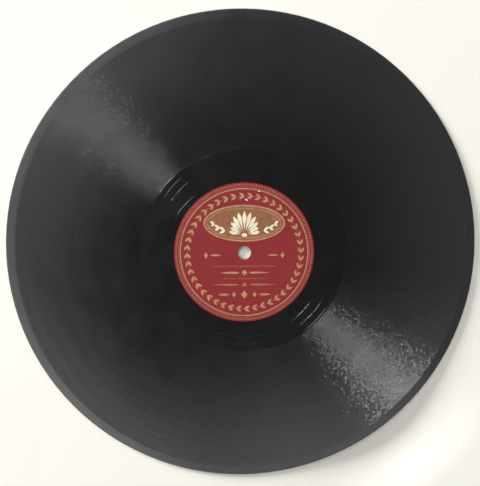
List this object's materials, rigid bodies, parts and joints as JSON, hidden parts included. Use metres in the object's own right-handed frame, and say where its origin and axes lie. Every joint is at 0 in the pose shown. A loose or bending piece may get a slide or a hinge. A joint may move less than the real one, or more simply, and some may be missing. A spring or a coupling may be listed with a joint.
{
  "type": "shellac record",
  "caption": "Flat round gramophone record with a fine groove spiralling inward on both faces, a paper label in each face and a spindle hole.",
  "frame": {"origin": "centre of the spindle hole on the underside, side B", "axes": "+Z along the spindle axis out of side A, +Y towards the top of side A's label, +X to its right"},
  "size_m": [0.2508, 0.2508, 0.0022],
  "materials": {
    "shellac": "pressed shellac compound, glossy, with a radial sheen from the groove",
    "label_paper": "maroon printed paper with gold rules"
  },
  "bodies": {
    "root": {"disc": "shellac", "label_side_a": "label_paper", "label_side_b": "label_paper"}
  },
  "joints": []
}
